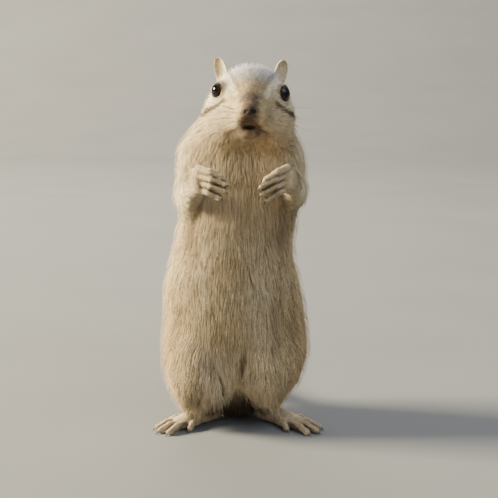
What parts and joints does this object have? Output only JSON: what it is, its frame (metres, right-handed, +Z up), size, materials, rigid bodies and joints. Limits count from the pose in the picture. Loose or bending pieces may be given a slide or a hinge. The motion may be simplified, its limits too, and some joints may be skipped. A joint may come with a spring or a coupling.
{
  "type": "eastern chipmunk",
  "caption": "Life-size still model of an eastern chipmunk standing upright, forepaws raised as if holding food, tail laid behind.",
  "frame": {"origin": "middle of the bounding box, on the floor that the soles and tail lie on", "axes": "+Z up, the animal faces -Y, its own left side is +X, the tail lies along +Y"},
  "size_m": [0.0712, 0.144, 0.1503],
  "materials": {
    "fur": "short dense coat, grey-brown above and buff below, dry and soft",
    "tail_fur": "longer loose coat, dark with a frosted edge",
    "skin": "thin matt skin under very short hair",
    "eye": "wet black-brown gloss",
    "claw": "dark horn, slightly glossy"
  },
  "bodies": {
    "root": {"head": "fur", "neck": "fur", "trunk": "fur", "tail": "tail_fur", "ear_left": "skin", "ear_right": "skin", "eye_left": "eye", "eye_right": "eye", "upper_arm_left": "fur", "upper_arm_right": "fur", "forearm_left": "fur", "forearm_right": "fur", "hand_left": "skin", "hand_right": "skin", "thigh_left": "fur", "thigh_right": "fur", "shin_left": "fur", "shin_right": "fur", "foot_left": "skin", "foot_right": "skin"}
  },
  "joints": []
}
